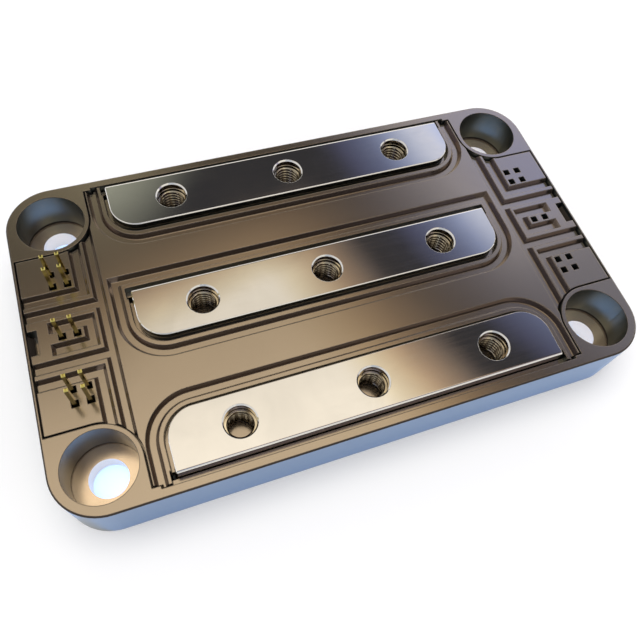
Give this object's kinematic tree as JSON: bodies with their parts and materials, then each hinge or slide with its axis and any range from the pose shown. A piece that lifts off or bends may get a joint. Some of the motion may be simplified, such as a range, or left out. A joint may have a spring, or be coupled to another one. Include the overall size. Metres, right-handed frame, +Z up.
{
  "type": "power mosfet module",
  "caption": "Low-profile power MOSFET module: cooled flat base with corner screw wells, flush ribbed lid, long bent screw terminals and a row of square control pins.",
  "frame": {"origin": "bottom centre of the base, on the cooled face", "axes": "+X along the long side, the control pins at the -X end; +Y to the rear; +Z up, out of the terminals' contact faces"},
  "size_m": [0.109, 0.064, 0.0182],
  "materials": {
    "housing_plastic": "satin moulded",
    "lid_plastic": "satin moulded",
    "base_metal": "satin nickel plated",
    "terminal_metal": "polished nickel plated copper",
    "insert_metal": "machined nickel plated brass",
    "pin_gold": "gold plated",
    "board_laminate": "green solder mask",
    "header_plastic": "black moulded",
    "solder_metal": "solder",
    "copper": "bare copper",
    "substrate_ceramic": "matte ceramic",
    "die_body": "polished semiconductor",
    "bond_metal": "bright aluminium",
    "thermistor_body": "dark ceramic"
  },
  "bodies": {
    "root": {"baseplate": "base_metal", "board_bonds": "bond_metal", "ceramic_front": "substrate_ceramic", "ceramic_rear": "substrate_ceramic", "control_pin_1": "pin_gold", "control_pin_10": "pin_gold", "control_pin_2": "pin_gold", "control_pin_3": "pin_gold", "control_pin_4": "pin_gold", "control_pin_5": "pin_gold", "control_pin_6": "pin_gold", "control_pin_7": "pin_gold", "control_pin_8": "pin_gold", "control_pin_9": "pin_gold", "dies_front": "die_body", "dies_rear": "die_body", "gate_board": "board_laminate", "gate_bonds_front": "bond_metal", "gate_bonds_rear": "bond_metal", "housing": "housing_plastic", "inserts_front": "insert_metal", "inserts_middle": "insert_metal", "inserts_rear": "insert_metal", "lid": "lid_plastic", "pin_header_front": "header_plastic", "pin_header_middle": "header_plastic", "pin_header_rear": "header_plastic", "solder_front": "solder_metal", "solder_rear": "solder_metal", "source_ribbons_front": "bond_metal", "source_ribbons_rear": "bond_metal", "substrate_copper_front": "copper", "substrate_copper_rear": "copper", "terminal_front": "terminal_metal", "terminal_middle": "terminal_metal", "terminal_rear": "terminal_metal", "thermistor": "thermistor_body", "tracks_front": "copper", "tracks_rear": "copper"}
  },
  "joints": []
}
